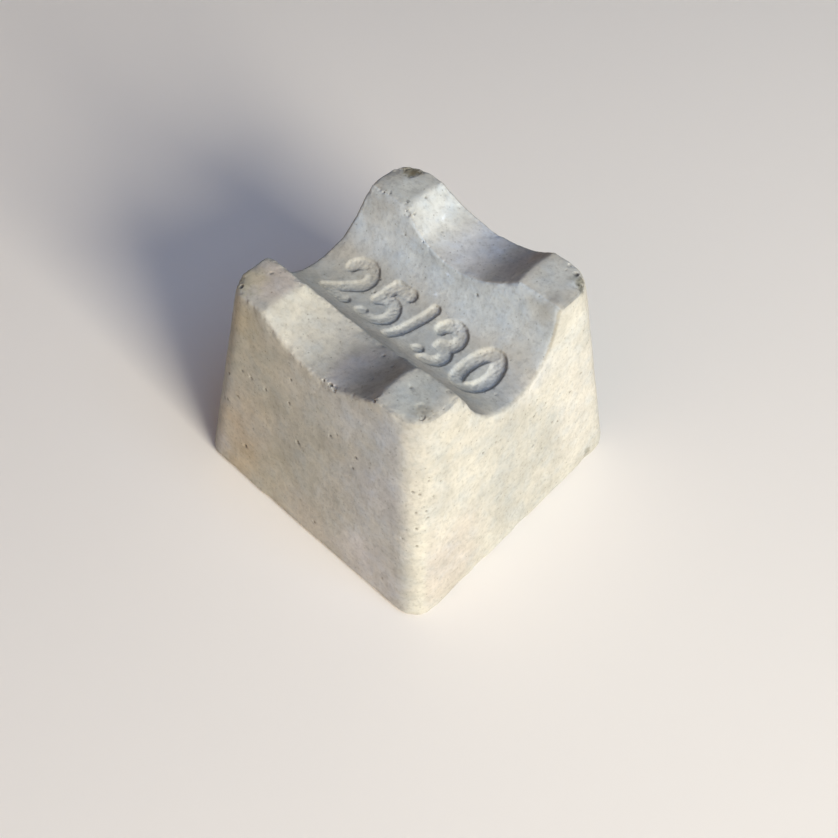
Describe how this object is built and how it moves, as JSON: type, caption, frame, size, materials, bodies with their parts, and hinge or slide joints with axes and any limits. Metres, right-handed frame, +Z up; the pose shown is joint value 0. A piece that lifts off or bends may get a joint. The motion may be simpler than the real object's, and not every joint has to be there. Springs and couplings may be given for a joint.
{
  "type": "concrete rebar spacer",
  "caption": "Cast concrete spacer block: a tapered square stump with crossing deep and shallow bar seats that hold reinforcing bars clear of the formwork.",
  "frame": {"origin": "centre of the flat foot, on the formwork side", "axes": "+Z up from the foot to the horns, +X along the deep bar seat, +Y along the shallow bar seat"},
  "size_m": [0.0414, 0.0414, 0.0333],
  "materials": {
    "concrete": "matte"
  },
  "bodies": {
    "root": {"spacer_block": "concrete"}
  },
  "joints": []
}
